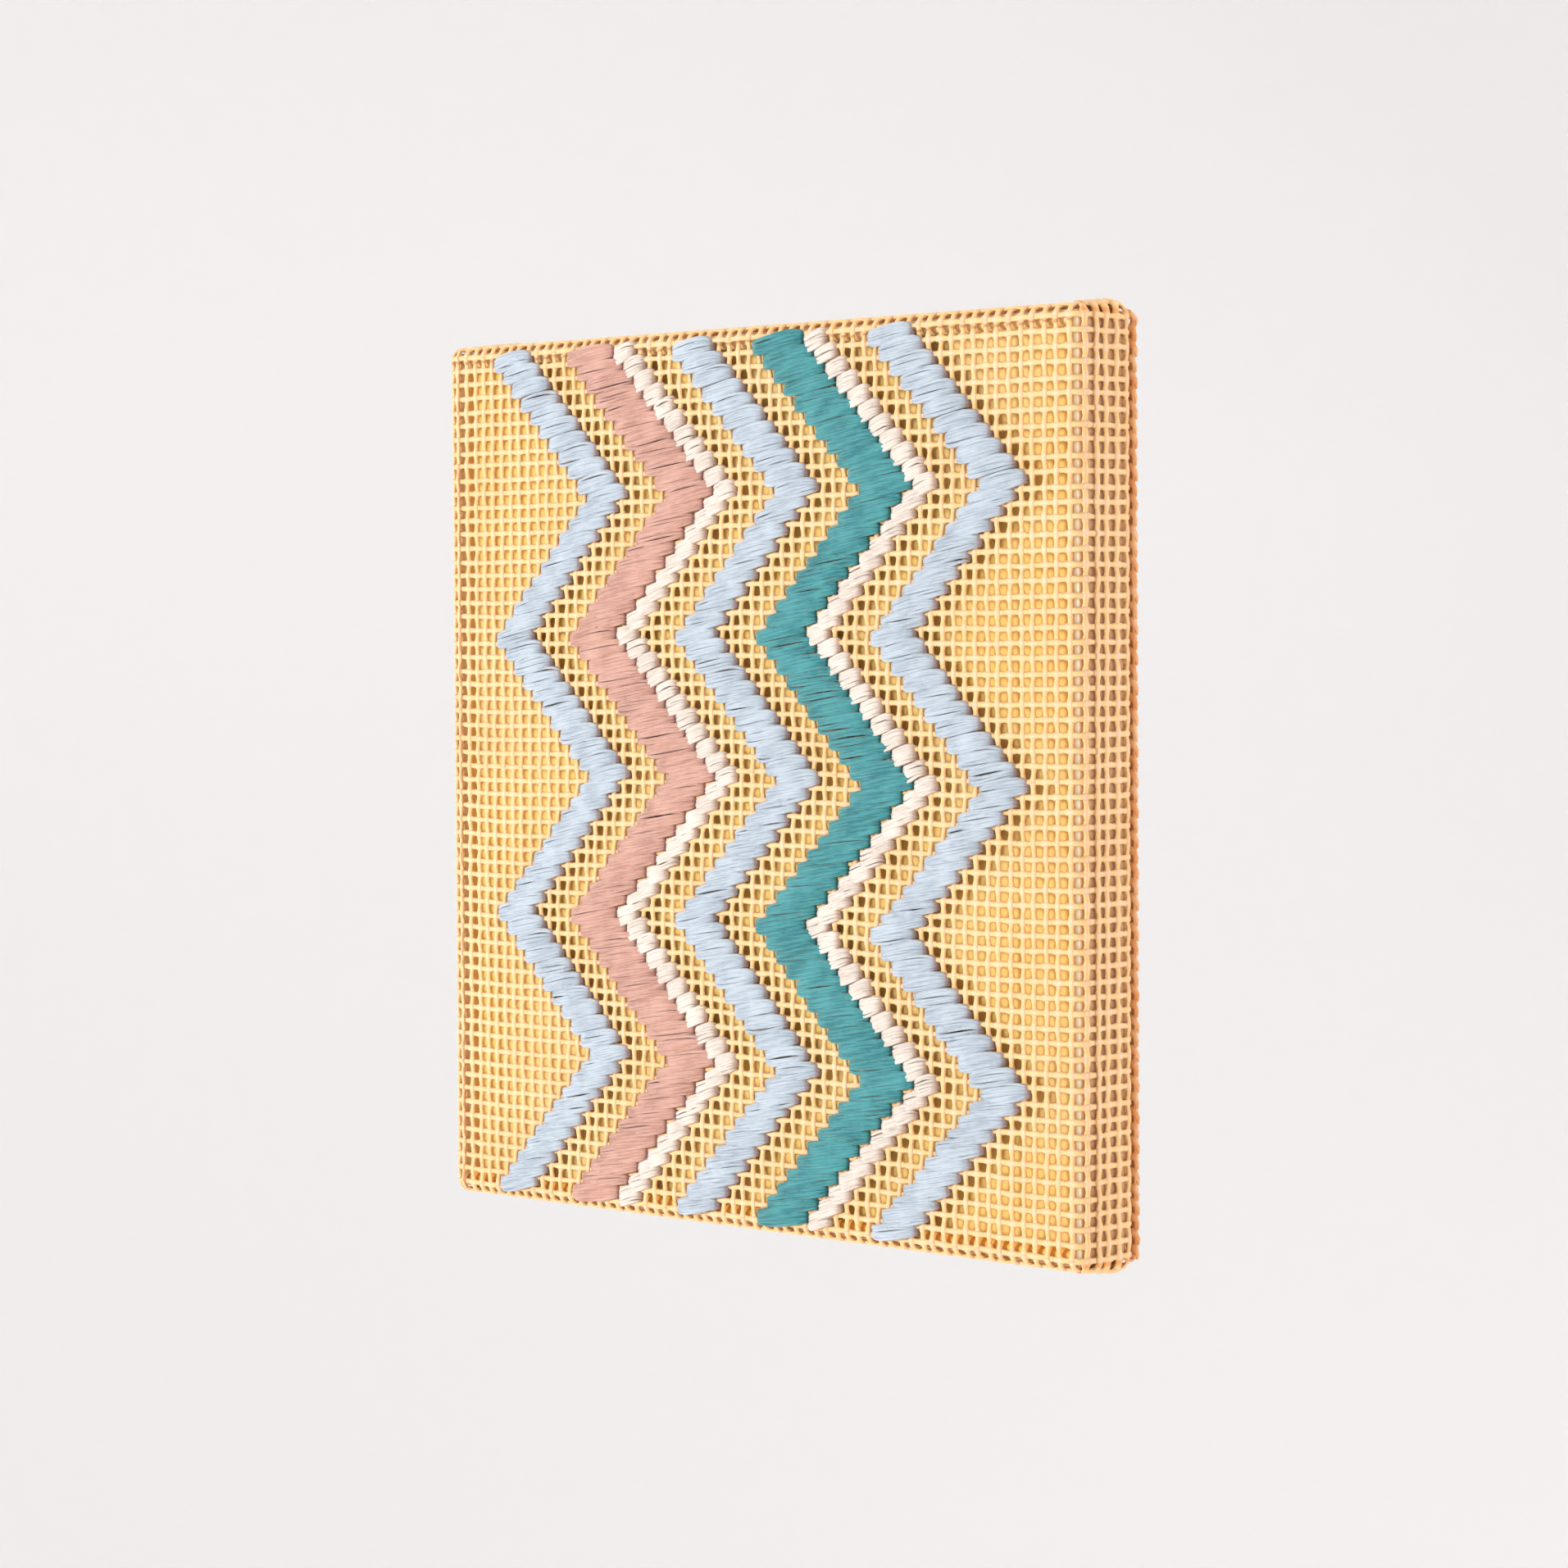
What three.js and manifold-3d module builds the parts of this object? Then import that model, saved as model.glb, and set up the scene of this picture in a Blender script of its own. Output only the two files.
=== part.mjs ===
// Embroidered panel: stiff open canvas stretched over a square wooden frame, with a coloured board
// lying behind the mesh and wool chevrons stitched on the front.
// Millimetres, +Z up. The stitched face looks along -Y and the back lies in the plane Y = 0. The
// origin is on the back, in the middle of the canvas strip that is turned over the top bar.
import * as THREE from 'three';
import Module from 'manifold-3d';
import { ConvexGeometry } from 'three/addons/geometries/ConvexGeometry.js';
import { RoundedBoxGeometry } from 'three/addons/geometries/RoundedBoxGeometry.js';
import { mergeVertices } from 'three/addons/utils/BufferGeometryUtils.js';

const wasm = await Module();
wasm.setup();

// Driving dimensions
const meshPitch = 25.4 / 7;       // seven canvas threads to the inch
const faceSize = 224;             // width and height over the canvas
const panelDepth = 22.2;          // from the back to the front of the mesh
const canvasThickness = 1.4;
const canvasArris = 3;            // outer radius where the canvas turns an edge
const clearance = 0.3;            // left between pieces that touch
const turnedStrip = 26;           // canvas turned onto the back
const hemThickness = 2.8;         // the turned strip is folded double and stands out at the back
const hemInset = 0.6;             // from the sides of the panel to the edge of the hem
const originBelowTop = 15;        // from the top edge down to the origin
const arcSteps = 2;               // facets in half a rounded edge

const barWidth = 32;
const beadWidth = 4;              // raised outer bead that carries the canvas
const beadInnerRadius = 1.8;
const beadFacets = 4;
const boardThickness = 2.4;
const boardSetBack = 5.4;         // from the front of the mesh to the front of the board

const foldAlong = 20;             // corner fold, measured along the back edge
const foldThickness = 1.3;        // how far the fold stands off the top or bottom face
const foldInset = 0.8;            // from the sides of the panel
const foldEase = 0.6;             // the fold's front and side edges lean in by this much
const foldBackEase = 3.5;         // and its back edge by this much

const stitchRows = 61;
const zigzagReach = 10;           // holes that a band moves sideways before it turns back
const shoulderHeight = 1.1;       // of a row of wool, where it meets the next one
const crestHeight = 2;            // at the middle of the row
const shoulderInset = 0.35;       // how much a row draws in towards its holes
const crestInset = 1.1;
const bandGap = 0.3;              // left between two bands that share a line of holes

// Bands from left to right: first hole of the top row, counted from the left, and width in holes
const bands = [
  { name: 'wool.blue.left', startHole: 4, holes: 4, color: 0xc9d9e6 },
  { name: 'wool.mauve', startHole: 12, holes: 5, color: 0xd3a59c },
  { name: 'wool.white.left', startHole: 17, holes: 2, color: 0xefe6df },
  { name: 'wool.blue.middle', startHole: 23, holes: 4, color: 0xc9d9e6 },
  { name: 'wool.teal', startHole: 31, holes: 5, color: 0x55b0b0 },
  { name: 'wool.white.right', startHole: 36, holes: 2, color: 0xefe6df },
  { name: 'wool.blue.right', startHole: 42, holes: 4, color: 0xc9d9e6 },
];
const holesAcross = 60;

// Sizes worked out from the driving dimensions
const halfFace = faceSize / 2;
const skin = canvasThickness + clearance;
const woodSize = faceSize - 2 * skin;
const woodBack = -(hemThickness + skin);
const woodFront = -(panelDepth - skin);
const woodArris = canvasArris - skin;
const boardFront = -(panelDepth - boardSetBack);
const boardBack = boardFront + boardThickness;
const ledge = boardBack + clearance;
const boardSize = woodSize - 2 * (beadWidth + clearance);
const woolBack = -(panelDepth + clearance);

const materials = {
  canvas: new THREE.MeshStandardMaterial({ color: 0xfbdcaa, roughness: 0.75, metalness: 0 }),
  wood: new THREE.MeshStandardMaterial({ color: 0xc99a6a, roughness: 0.6, metalness: 0 }),
  board: new THREE.MeshStandardMaterial({ color: 0xfbb84b, roughness: 0.8, metalness: 0 }),
};

function solidOf(geometry) {
  const bare = geometry.clone();
  bare.deleteAttribute('normal');
  bare.deleteAttribute('uv');
  const merged = mergeVertices(bare);
  return new wasm.Manifold(new wasm.Mesh({
    numProp: 3,
    vertProperties: merged.attributes.position.array,
    triVerts: new Uint32Array(merged.index.array),
  }));
}

function geometryOf(solid) {
  const { vertProperties, triVerts } = solid.getMesh();
  const geometry = new THREE.BufferGeometry();
  geometry.setAttribute('position', new THREE.BufferAttribute(vertProperties, 3));
  geometry.setIndex(new THREE.BufferAttribute(triVerts, 1));
  geometry.computeVertexNormals();
  return geometry;
}

function addPiece(group, name, geometry, material) {
  const piece = new THREE.Mesh(geometry, material);
  piece.name = name;
  group.add(piece);
  return piece;
}

// A square block with rounded edges, its faces across Y at front and back
function roundedBlock(size, front, back, radius) {
  const block = new RoundedBoxGeometry(size, back - front, size, arcSteps, radius);
  return solidOf(block.translate(0, (front + back) / 2, 0));
}

// A pleat of spare canvas, folded flat on the top or bottom face at one corner of the panel
function cornerFold(sideX, sideZ) {
  const front = canvasArris - panelDepth;
  const back = -hemThickness;
  const corners = [];
  for (const { height, ease, backEase } of [
    { height: -canvasThickness / 2, ease: 0, backEase: 0 },
    { height: foldThickness, ease: foldEase, backEase: foldBackEase },
  ]) {
    const outer = halfFace - foldInset - ease;
    const inner = halfFace - foldAlong + backEase;
    for (const [x, y] of [[outer, front + ease], [outer, back - backEase], [inner, back - backEase]]) {
      corners.push(new THREE.Vector3(sideX * x, y, sideZ * (halfFace + height)));
    }
  }
  return solidOf(new ConvexGeometry(corners));
}

// The canvas is a shallow tray with a hem round its back, open inside the turned strip
function canvasGeometry() {
  const hemSize = faceSize - 2 * hemInset;
  const hemFront = -(hemThickness + canvasThickness / 2);
  const innerSize = faceSize - 2 * canvasThickness;
  const innerFront = canvasThickness - panelDepth;
  const innerBack = -(hemThickness + canvasThickness);
  const openSize = faceSize - 2 * turnedStrip;
  const opening = new THREE.BoxGeometry(openSize, 4 * hemThickness, openSize);
  let canvas = roundedBlock(faceSize, -panelDepth, -hemThickness, canvasArris)
    .add(roundedBlock(hemSize, hemFront, 0, hemThickness / 2))
    .subtract(roundedBlock(innerSize, innerFront, innerBack, canvasArris - canvasThickness))
    .subtract(solidOf(opening));
  for (const sideX of [-1, 1]) {
    for (const sideZ of [-1, 1]) canvas = canvas.add(cornerFold(sideX, sideZ));
  }
  return geometryOf(canvas);
}

// Outline of a bar in section, x inwards from the outer edge and y from the back to the bead
function barSection() {
  const roundAt = new THREE.Vector2(beadWidth - beadInnerRadius, woodFront + beadInnerRadius);
  const bead = new THREE.Path().absarc(roundAt.x, roundAt.y, beadInnerRadius, -Math.PI / 2, 0);
  return new THREE.Shape([
    new THREE.Vector2(0, woodBack),
    new THREE.Vector2(0, woodFront),
    ...bead.getPoints(beadFacets),
    new THREE.Vector2(beadWidth, ledge),
    new THREE.Vector2(barWidth, ledge),
    new THREE.Vector2(barWidth, woodBack),
  ]);
}

// The top bar: the section carried along X, its ends cut back to the mitre, its outside eased
function barGeometry() {
  const bar = new THREE.ExtrudeGeometry(barSection(), { depth: 1, bevelEnabled: false });
  const position = bar.attributes.position;
  const mitreGap = clearance * Math.SQRT1_2;
  for (let i = 0; i < position.count; i += 1) {
    const inward = position.getX(i);
    const end = position.getZ(i) > 0.5 ? 1 : -1;
    const along = end * (woodSize / 2 - inward - mitreGap);
    position.setXYZ(i, along, position.getY(i), woodSize / 2 - inward);
  }
  const eased = roundedBlock(woodSize, woodFront, woodBack, woodArris);
  return geometryOf(solidOf(bar).intersect(eased));
}

// Triangle wave, in holes: the band steps one hole sideways on each row
function zigzagShift(row) {
  return zigzagReach - Math.abs((row % (2 * zigzagReach)) - zigzagReach);
}

// One row of wool: a rib with a crest, drawn in at both ends, where it enters the canvas
function stitchRib(left, right, middle) {
  const corners = [];
  const levels = [
    { height: 0, inset: 0, reach: meshPitch / 2 },
    { height: shoulderHeight, inset: shoulderInset, reach: meshPitch / 2 },
    { height: crestHeight, inset: crestInset, reach: 0 },
  ];
  for (const { height, inset, reach } of levels) {
    for (const x of [left + inset, right - inset]) {
      corners.push(new THREE.Vector3(x, woolBack - height, middle - reach));
      if (reach > 0) corners.push(new THREE.Vector3(x, woolBack - height, middle + reach));
    }
  }
  return solidOf(new ConvexGeometry(corners));
}

function bandGeometry({ startHole, holes }) {
  const ribs = [];
  for (let row = 0; row < stitchRows; row += 1) {
    const hole = startHole + zigzagShift(row) - (holesAcross - 1) / 2;
    const left = hole * meshPitch + bandGap / 2;
    const right = (hole + holes) * meshPitch - bandGap / 2;
    ribs.push(stitchRib(left, right, ((stitchRows - 1) / 2 - row) * meshPitch));
  }
  return geometryOf(wasm.Manifold.union(ribs));
}

const panel = new THREE.Group();
panel.position.z = originBelowTop - halfFace;

addPiece(panel, 'canvas', canvasGeometry(), materials.canvas);

const bar = barGeometry();
['bar.top', 'bar.right', 'bar.bottom', 'bar.left'].forEach((name, quarter) => {
  addPiece(panel, name, bar, materials.wood).rotation.y = quarter * Math.PI / 2;
});

const board = new THREE.BoxGeometry(boardSize, boardThickness, boardSize);
addPiece(panel, 'board', board, materials.board).position.y = (boardFront + boardBack) / 2;

for (const band of bands) {
  const wool = new THREE.MeshStandardMaterial({ color: band.color, roughness: 0.95, metalness: 0 });
  addPiece(panel, band.name, bandGeometry(band), wool);
}

export default panel;
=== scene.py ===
# Embroidered panel: an open net of stiff cotton threads, stretched over a square stretcher frame, with a
# coloured board behind it and zigzag bands of wool stitched through its holes.
import math

import bpy
import numpy as np
from mathutils import Matrix, Vector


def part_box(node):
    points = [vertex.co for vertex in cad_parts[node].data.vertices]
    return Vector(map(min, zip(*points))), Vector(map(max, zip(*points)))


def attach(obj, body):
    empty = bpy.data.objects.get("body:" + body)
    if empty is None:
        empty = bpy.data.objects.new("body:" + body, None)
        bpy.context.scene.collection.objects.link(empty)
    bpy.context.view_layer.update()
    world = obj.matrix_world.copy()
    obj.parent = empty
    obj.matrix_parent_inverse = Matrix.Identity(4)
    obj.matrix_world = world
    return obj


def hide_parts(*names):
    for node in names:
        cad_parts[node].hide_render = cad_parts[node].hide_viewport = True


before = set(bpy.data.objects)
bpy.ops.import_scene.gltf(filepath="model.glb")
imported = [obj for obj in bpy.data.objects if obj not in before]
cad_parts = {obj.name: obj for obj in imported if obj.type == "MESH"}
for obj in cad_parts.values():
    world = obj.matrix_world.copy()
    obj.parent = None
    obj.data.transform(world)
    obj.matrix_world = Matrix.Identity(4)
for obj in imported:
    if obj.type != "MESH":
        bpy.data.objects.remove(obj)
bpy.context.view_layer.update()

mm = 0.001
quarterTurn = math.pi / 2
random = np.random.default_rng(11)

# The panel's place and size, from the frame, in millimetres; panel coordinates start at its middle
canvasLow, canvasHigh = (np.array(corner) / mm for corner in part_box("canvas"))
boardLow, boardHigh = (np.array(corner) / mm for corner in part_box("board"))
panelMiddle = np.array([0, 0, (boardLow[2] + boardHigh[2]) / 2])
halfFace = canvasHigh[0]
clothFront = canvasLow[1]
pitch = 25.4 / 7           # seven threads to the inch
rowPitch = pitch * 0.983   # the rows lie a little closer than the columns


camera = {
    "azimuth": 45.67, "elevation": 2.05, "roll": -0.32,   # degrees
    "distance": 1.0913, "clip": (0.02, 40),               # metres
    "lens": 100.8, "sensor": 36,                          # mm
    "target": (2.9, -10.5, -1.35),                        # mm, from the middle of the panel's back
}


def placeCamera():
    # the eye stands on a ball round the target, at the photograph's azimuth and elevation
    lens = bpy.data.cameras.new("camera")
    lens.lens, lens.sensor_width, lens.sensor_height = camera["lens"], camera["sensor"], camera["sensor"]
    lens.sensor_fit = "HORIZONTAL"
    lens.clip_start, lens.clip_end = camera["clip"]
    azimuth, elevation = math.radians(camera["azimuth"]), math.radians(camera["elevation"])
    backwards = Vector((math.sin(azimuth) * math.cos(elevation), -math.cos(azimuth) * math.cos(elevation),
                        math.sin(elevation)))
    target = Vector((np.array(camera["target"]) + panelMiddle) * mm)
    turn = backwards.to_track_quat("Z", "Y").to_matrix().to_4x4()
    roll = Matrix.Rotation(math.radians(camera["roll"]), 4, "Z")
    eye = bpy.data.objects.new("camera", lens)
    eye.matrix_world = Matrix.Translation(target + backwards * camera["distance"]) @ turn @ roll
    bpy.context.scene.collection.objects.link(eye)
    bpy.context.scene.camera = eye
    bpy.context.scene.view_settings.view_transform = "Standard"  # plain colours on white paper


placeCamera()
print("camera placed")


def linear(colour):
    # from a colour as seen on screen, red, green and blue from 0 to 255, to the value a shader wants
    part = np.array(colour) / 255
    return (*np.where(part < 0.04045, part / 12.92, ((part + 0.055) / 1.055) ** 2.4), 1)


def newMaterial(name, roughness):
    material = bpy.data.materials.new(name)
    material.use_nodes = True
    shader = material.node_tree.nodes["Principled BSDF"]
    shader.inputs["Roughness"].default_value = roughness
    return material, shader


def addNode(material, kind, **settings):
    node = material.node_tree.nodes.new("ShaderNode" + kind)
    for name, value in settings.items():
        setattr(node, name, value)
    return node


def link(material, source, target):
    material.node_tree.links.new(source, target)


def mathNode(material, operation, *values):
    node = addNode(material, "Math", operation=operation)
    for socket, value in zip(node.inputs, values):
        if isinstance(value, (int, float)):
            socket.default_value = value
        else:
            link(material, value, socket)
    return node.outputs[0]


def mixColours(material, amount, first, second):
    node = addNode(material, "Mix", data_type="RGBA")
    for socket, value in zip((node.inputs[0], node.inputs[6], node.inputs[7]), (amount, first, second)):
        if isinstance(value, (int, float, tuple)):
            socket.default_value = value
        else:
            link(material, value, socket)
    return node.outputs[2]


def noiseNode(material, place, scale, detail=2.0, roughness=0.5):
    node = addNode(material, "TexNoise")
    node.inputs["Scale"].default_value = scale
    node.inputs["Detail"].default_value = detail
    node.inputs["Roughness"].default_value = roughness
    link(material, place, node.inputs["Vector"])
    return node.outputs[0]


def rampNode(material, value, start, end):
    # nought below start, one above end and even between them
    node = addNode(material, "MapRange")
    for name, number in (("From Min", start), ("From Max", end)):
        node.inputs[name].default_value = number
    link(material, value, node.inputs["Value"])
    return node.outputs[0]


def rampMm(material, value, start, end):
    # the same for a value in metres, with start and end in millimetres
    return rampNode(material, value, start * mm, end * mm)


def bump(material, shader, height, distance, strength):
    node = addNode(material, "Bump")
    node.inputs["Strength"].default_value = strength
    node.inputs["Distance"].default_value = distance
    link(material, height, node.inputs["Height"])
    link(material, node.outputs[0], shader.inputs["Normal"])


def placeOnObject(material):
    return addNode(material, "TexCoord").outputs["Object"]


def twistHeight(material, plies, turns):
    # the strand map gives the length in turns of yarn and the way round it: the plies run as a helix
    places = addNode(material, "UVMap", uv_map="strand")
    parts = addNode(material, "SeparateXYZ")
    link(material, places.outputs[0], parts.inputs[0])
    around = mathNode(material, "MULTIPLY", parts.outputs[1], plies * 2 * math.pi)
    length = mathNode(material, "MULTIPLY", parts.outputs[0], turns * 2 * math.pi)
    wave = mathNode(material, "SINE", mathNode(material, "ADD", around, length))
    return mathNode(material, "MULTIPLY_ADD", wave, 0.5, 0.5), parts.outputs[0], places.outputs[0]


def panelPlace(material):
    # the place on the object, measured from the middle of the panel's back, and its three parts
    centred = addNode(material, "Mapping")
    centred.inputs["Location"].default_value = tuple(-panelMiddle * mm)
    link(material, placeOnObject(material), centred.inputs["Vector"])
    parts = addNode(material, "SeparateXYZ")
    link(material, centred.outputs[0], parts.inputs[0])
    return centred.outputs[0], parts.outputs


def nearLine(material, value, place, halfWidth):
    # one on the line and nought half a width away from it, both in millimetres
    off = mathNode(material, "ABSOLUTE", mathNode(material, "SUBTRACT", value, place * mm))
    return rampMm(material, off, halfWidth, halfWidth * 0.3)


# places and widths are in millimetres, and a pair is where a mask starts and where it is full
cotton = {
    # the crossing colour is a painted highlight where the threads cross
    "crossing": (248, 210, 184), "between": (248, 204, 138), "shade": (240, 186, 122), "shadeShare": 0.45,
    "hem": (226, 152, 88), "hemDepth": (-5.2, -3.6), "hemOut": (109.2, 110.0),   # painted shade on the hem's outer fold, darker outwards
    "side": (110.4, 110.9),    # the sides lie this far out
    "front": (1.6, 1.2),       # the front reaches this far behind the foremost threads
    "marking": (190, 132, 84), "markingWidth": 0.55, "markingShare": 0.8,        # a thin brown line
    "markingTop": 107.6, "markingLeft": -107.3, "markingSide": -16.75, "markingSway": 1.2,
    # the pleat colour is a painted shadow in the gap under the fold of a pleat
    "pleat": (238, 160, 84), "pleatLine": 110.1, "pleatWidth": 0.9, "pleatShare": 0.85,
    "roughness": 0.62, "sheen": 0.15, "shine": 0.35,
    "plies": 3, "twist": 2.0, "twistDepth": 0.05,
}


def cottonMaterial():
    # a painted highlight, pale, where two threads cross, more yellow between, and a little uneven
    material, shader = newMaterial("sized cotton", cotton["roughness"])
    shader.inputs["Sheen Weight"].default_value = cotton["sheen"]
    shader.inputs["Specular IOR Level"].default_value = cotton["shine"]
    height, length, _ = twistHeight(material, cotton["plies"], cotton["twist"])
    place, (acrossPanel, depth, upPanel) = panelPlace(material)
    wave = mathNode(material, "COSINE", mathNode(material, "MULTIPLY", length, 2 * math.pi))
    atCrossing = mathNode(material, "MULTIPLY_ADD", wave, 0.5, 0.5)
    fine = noiseNode(material, place, 900, 3, 0.6)
    broad = noiseNode(material, place, 45, 2)
    # painted highlight on the crossings, broken up by a fine noise
    spotted = mathNode(material, "MULTIPLY", atCrossing, rampNode(material, fine, 0.32, 0.62))
    thread = mixColours(material, spotted, linear(cotton["between"]), linear(cotton["crossing"]))
    worn = mathNode(material, "MULTIPLY", rampNode(material, broad, 0.42, 0.75), cotton["shadeShare"])
    thread = mixColours(material, worn, thread, linear(cotton["shade"]))
    outmost = mathNode(material, "MAXIMUM", mathNode(material, "ABSOLUTE", acrossPanel),
                       mathNode(material, "ABSOLUTE", upPanel))
    # painted shade on the outer fold of the hem, in patches of noise
    hemEdge = mathNode(material, "MULTIPLY", rampMm(material, depth, *cotton["hemDepth"]),
                       rampMm(material, outmost, *cotton["hemOut"]))
    atHem = mathNode(material, "MULTIPLY", hemEdge,
                     rampNode(material, noiseNode(material, place, 260, 2), 0.1, 0.65))
    thread = mixColours(material, atHem, thread, linear(cotton["hem"]))
    # painted shadow along the gap under a pleat's fold, on the sides only
    onSide = rampMm(material, mathNode(material, "ABSOLUTE", acrossPanel), *cotton["side"])
    inPleat = nearLine(material, mathNode(material, "ABSOLUTE", upPanel), cotton["pleatLine"],
                       cotton["pleatWidth"])
    inPleat = mathNode(material, "MULTIPLY", mathNode(material, "MULTIPLY", onSide, inPleat),
                       cotton["pleatShare"])
    thread = mixColours(material, inPleat, thread, linear(cotton["pleat"]))
    marked = markingMask(material, place, acrossPanel, depth, upPanel, onSide)
    thread = mixColours(material, marked, thread, linear(cotton["marking"]))
    link(material, thread, shader.inputs["Base Color"])
    rough = mathNode(material, "ADD", mathNode(material, "MULTIPLY", height, 0.6), fine)
    bump(material, shader, rough, cotton["twistDepth"] * mm, 0.7)
    return material


def markingMask(material, place, acrossPanel, depth, upPanel, onSide):
    # a thin wavy line: across the top and down the left of the front, and down the two sides
    sway = cotton["markingSway"] * mm
    wave = mathNode(material, "MULTIPLY_ADD", noiseNode(material, place, 190, 2), 2 * sway, -sway)
    onFront = rampMm(material, depth, *(clothFront + behind for behind in cotton["front"]))
    overTop, downLeft, alongSide = (
        nearLine(material, mathNode(material, "ADD", value, wave), cotton[key], cotton["markingWidth"])
        for value, key in ((upPanel, "markingTop"), (acrossPanel, "markingLeft"), (depth, "markingSide")))
    front = mathNode(material, "MULTIPLY", mathNode(material, "MAXIMUM", overTop, downLeft), onFront)
    line = mathNode(material, "MAXIMUM", front, mathNode(material, "MULTIPLY", alongSide, onSide))
    return mathNode(material, "MULTIPLY", line, cotton["markingShare"])


yarn = {
    "roughness": 0.92, "sheen": 0.35, "sheenRoughness": 0.5, "shine": 0.15,
    "plies": 2, "twist": 0.12, "twistShare": 0.25,
    "drawn": (0.45, 7, 1),            # the fibres are a noise drawn out along the strand
    "paleShare": 0.5, "tipShare": 0.7, "tipDepth": 0.6,      # mm in front of the cloth
    "bump": 0.2,                      # mm
}


def woolMaterial(name, colour, deep, tip):
    # fine fibres drawn out along the strands, with painted shade in the grooves of the twist, and painted
    # shade at the tip where they go down into the canvas
    material, shader = newMaterial(name, yarn["roughness"])
    shader.inputs["Sheen Weight"].default_value = yarn["sheen"]
    shader.inputs["Sheen Roughness"].default_value = yarn["sheenRoughness"]
    shader.inputs["Specular IOR Level"].default_value = yarn["shine"]
    height, _, strandPlace = twistHeight(material, yarn["plies"], yarn["twist"])
    place = placeOnObject(material)
    drawn = addNode(material, "Mapping")
    drawn.inputs["Scale"].default_value = yarn["drawn"]
    link(material, strandPlace, drawn.inputs["Vector"])
    fibres = noiseNode(material, drawn.outputs[0], 1.6, 4, 0.65)
    broad = noiseNode(material, place, 140, 2)
    # painted shade in the twist's grooves, mixed with a random tone of the fibres
    tone = mathNode(material, "ADD", mathNode(material, "MULTIPLY", height, yarn["twistShare"]),
                    mathNode(material, "MULTIPLY", fibres, 1 - yarn["twistShare"]))
    base = mixColours(material, rampNode(material, tone, 0.3, 0.66), linear(deep), linear(colour))
    pale = tuple(min(255, part * 1.06 + 6) for part in colour)
    patch = mathNode(material, "MULTIPLY", rampNode(material, broad, 0.4, 0.7), yarn["paleShare"])
    base = mixColours(material, patch, base, linear(pale))
    _, (_, depth, _) = panelPlace(material)
    # painted shade where the strands go down into the holes
    low = rampMm(material, depth, clothFront - yarn["tipDepth"], clothFront)
    low = mathNode(material, "MULTIPLY", low, yarn["tipShare"])
    link(material, mixColours(material, low, base, linear(tip)), shader.inputs["Base Color"])
    bump(material, shader, tone, yarn["bump"] * mm, 0.7)
    return material


# pairs as for the cotton: the bead is painted down to the board and its outer edge carries a painted
# highlight
wood = {
    # the edge colour is a painted highlight on the bead's rounded outer edge
    "pale": (234, 194, 150), "grain": (204, 152, 106), "edge": (255, 246, 218),
    # the board's paint on each bead, with painted light in it: paler on the top and left bars, and deeper
    # orange as painted shade on the bottom one
    "bead": {"bar.top": (252, 216, 156), "bar.left": (252, 216, 156), "bar.bottom": (252, 190, 84),
             "bar.right": (252, 206, 128)},
    "paintDepth": (-17.0, -17.4), "paintOut": (110.1, 109.9), "ragged": 0.25,
    "edgeFrom": (108.6, 108.8), "edgeDepth": (-18.6, -19.2), "edgeOut": (110.0, 109.8),
    "roughness": 0.55, "ringShare": 0.7, "bump": 0.12,
}


def woodMaterial(name, grainScale, edgeAxis):
    # grain is a noise drawn out along the bar; the front of the bead carries the board's paint with painted
    # light in it, and its outer edge a painted highlight
    material, shader = newMaterial("pine " + name, wood["roughness"])
    place, parts = panelPlace(material)
    stretch = addNode(material, "Mapping")
    stretch.inputs["Scale"].default_value = grainScale
    link(material, place, stretch.inputs["Vector"])
    rings = noiseNode(material, stretch.outputs[0], 22, 4, 0.55)
    pores = noiseNode(material, stretch.outputs[0], 160, 3, 0.6)
    grain = mathNode(material, "ADD", mathNode(material, "MULTIPLY", rings, wood["ringShare"]),
                     mathNode(material, "MULTIPLY", pores, 1 - wood["ringShare"]))
    timber = mixColours(material, rampNode(material, grain, 0.38, 0.66), linear(wood["pale"]),
                        linear(wood["grain"]))
    ragged = wood["ragged"] * mm
    wave = mathNode(material, "MULTIPLY_ADD", noiseNode(material, place, 300, 2), 2 * ragged, -ragged)
    depth = mathNode(material, "ADD", parts[1], wave)
    outwards = mathNode(material, "ABSOLUTE", parts[edgeAxis])
    painted = mathNode(material, "MULTIPLY", rampMm(material, depth, *wood["paintDepth"]),
                       rampMm(material, outwards, *wood["paintOut"]))
    # painted highlight on the rounded outer edge of the bead
    nearEdge = mathNode(material, "MULTIPLY", rampMm(material, outwards, *wood["edgeFrom"]),
                        rampMm(material, depth, *wood["edgeDepth"]))
    nearEdge = mathNode(material, "MULTIPLY", nearEdge, rampMm(material, outwards, *wood["edgeOut"]))
    face = mixColours(material, painted, timber, linear(wood["bead"][name]))
    link(material, mixColours(material, nearEdge, face, linear(wood["edge"])), shader.inputs["Base Color"])
    bump(material, shader, grain, wood["bump"] * mm, 0.6)
    return material


board = {
    "colour": (255, 218, 126), "pale": (255, 224, 152), "deep": (255, 200, 96), "deepShare": 0.35,
    "roughness": 0.82, "bump": 0.08,   # mm
}


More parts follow.
